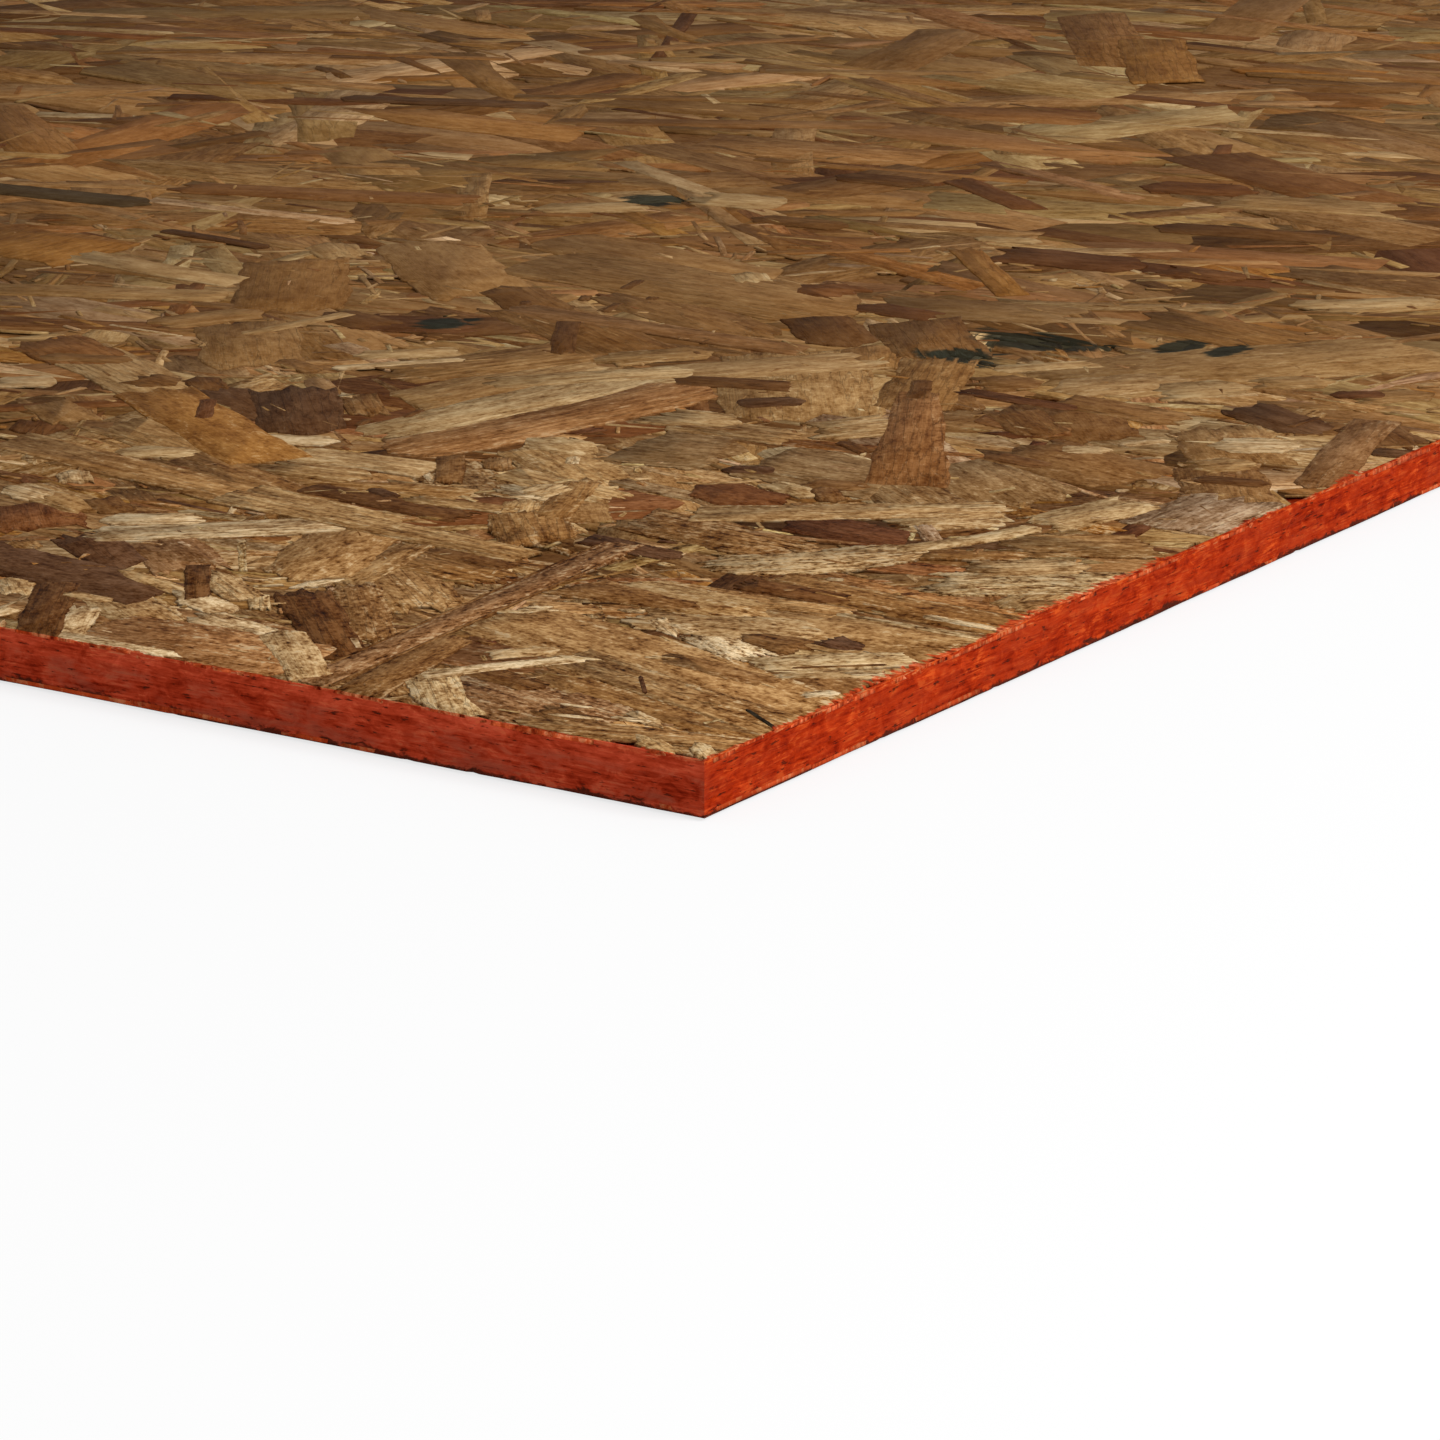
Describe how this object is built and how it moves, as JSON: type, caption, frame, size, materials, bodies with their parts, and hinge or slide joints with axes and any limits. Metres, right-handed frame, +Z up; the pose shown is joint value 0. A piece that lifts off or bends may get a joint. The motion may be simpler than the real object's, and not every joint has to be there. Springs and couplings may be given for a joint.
{
  "type": "oriented strand board sheathing panel",
  "caption": "Flat rectangular sheet of pressed wood strands with square sawn edges sealed in red-orange paint, for sheathing walls and roofs.",
  "frame": {"origin": "middle of the underside, where the sheet lies on the floor", "axes": "+X along the sheet's length and strength axis, +Y across its width, +Z up out of the top face"},
  "size_m": [2.435, 1.216, 0.0111],
  "materials": {
    "face_strands": "matte",
    "edge_sealer": "satin"
  },
  "bodies": {
    "root": {"osb_board": "face_strands"}
  },
  "joints": []
}
